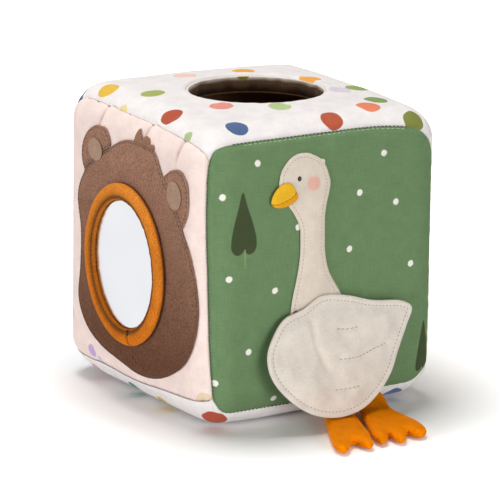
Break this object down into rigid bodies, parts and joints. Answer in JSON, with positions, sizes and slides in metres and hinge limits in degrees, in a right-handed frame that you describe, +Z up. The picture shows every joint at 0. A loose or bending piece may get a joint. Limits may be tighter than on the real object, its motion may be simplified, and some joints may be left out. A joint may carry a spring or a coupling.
{
  "type": "tissue box toy",
  "caption": "Padded fabric cube for a baby, with cloths to pull from an oval hand hole in its top, a bear with a play mirror on one side and a goose with a lift-up wing and loose feet",
  "frame": {"origin": "middle of the flat base, on the surface that the toy stands on", "axes": "+Z up; -Y is the way the goose panel and the feet point; -X is the way the bear panel faces"},
  "size_m": [0.1492, 0.1987, 0.1563],
  "materials": {
    "cover_green": "matte woven cotton",
    "cover_pink": "matte woven cotton",
    "cover_cream": "matte woven cotton",
    "cover_blue": "matte woven cotton",
    "cover_dotted": "matte cotton printed with dots",
    "foam": "matte soft foam",
    "lining": "matte woven cotton",
    "facing": "matte woven cotton",
    "bear_plush": "short plush",
    "inner_ear": "short plush",
    "bear_tuft": "short plush",
    "mirror_backing": "matte felt",
    "mirror_film": "mirror film",
    "mirror_ring": "matte knitted cotton",
    "goose_cloth": "matte woven cotton",
    "goose_beak": "matte felt",
    "goose_eye": "embroidered thread",
    "filling": "fibre filling",
    "foot_cloth": "matte woven cotton",
    "play_cloth_tan": "matte muslin",
    "play_cloth_sage": "matte muslin",
    "play_cloth_rose": "matte muslin"
  },
  "bodies": {
    "box": {"goose_panel_cover": "cover_green", "goose_panel_foam": "foam", "goose_panel_lining": "lining", "bear_panel_cover": "cover_pink", "bear_panel_foam": "foam", "bear_panel_lining": "lining", "right_panel_cover": "cover_cream", "right_panel_foam": "foam", "right_panel_lining": "lining", "back_panel_cover": "cover_blue", "back_panel_foam": "foam", "back_panel_lining": "lining", "bottom_cover": "cover_dotted", "bottom_foam": "foam", "floor_lining": "lining", "top_cover": "cover_dotted", "top_foam": "foam", "top_lining": "lining", "hole_facing": "facing", "bear_head": "bear_plush", "bear_ear_near": "bear_plush", "bear_ear_far": "bear_plush", "bear_inner_ear_near": "inner_ear", "bear_inner_ear_far": "inner_ear", "bear_hair_tuft": "bear_tuft", "mirror_backing": "mirror_backing", "mirror_film": "mirror_film", "mirror_ring": "mirror_ring", "goose_head_and_neck": "goose_cloth", "goose_beak": "goose_beak", "goose_eye": "goose_eye"},
    "wing": {"wing_front_cloth": "goose_cloth", "wing_filling": "filling", "wing_back_cloth": "goose_cloth"},
    "foot_left": {"foot_left_upper": "foot_cloth", "foot_left_filling": "filling", "foot_left_sole": "foot_cloth"},
    "foot_right": {"foot_right_upper": "foot_cloth", "foot_right_filling": "filling", "foot_right_sole": "foot_cloth"},
    "cloth_1": {"play_cloth_1": "play_cloth_tan"},
    "cloth_2": {"play_cloth_2": "play_cloth_sage"},
    "cloth_3": {"play_cloth_3": "play_cloth_rose"}
  },
  "joints": [
    {"name": "wing_lift", "type": "hinge", "parent": "box", "child": "wing", "pos_m": [0.002, -0.07448, 0.066], "axis": [-1, 0, 0], "range_deg": [0, 130]},
    {"name": "foot_left_swing", "type": "hinge", "parent": "box", "child": "foot_left", "pos_m": [0.009, -0.0656, 0.00767], "axis": [1, 0, 0], "range_deg": [0, 85]},
    {"name": "foot_right_swing", "type": "hinge", "parent": "box", "child": "foot_right", "pos_m": [0.0265, -0.0656, 0.00767], "axis": [1, 0, 0], "range_deg": [0, 85]},
    {"name": "cloth_1_pull", "type": "slide", "parent": "box", "child": "cloth_1", "axis": [0, 0, 1], "range_m": [0, 0.15]},
    {"name": "cloth_2_pull", "type": "slide", "parent": "cloth_1", "child": "cloth_2", "axis": [0, 0, 1], "range_m": [0, 0.15]},
    {"name": "cloth_3_pull", "type": "slide", "parent": "cloth_2", "child": "cloth_3", "axis": [0, 0, 1], "range_m": [0, 0.15]}
  ]
}
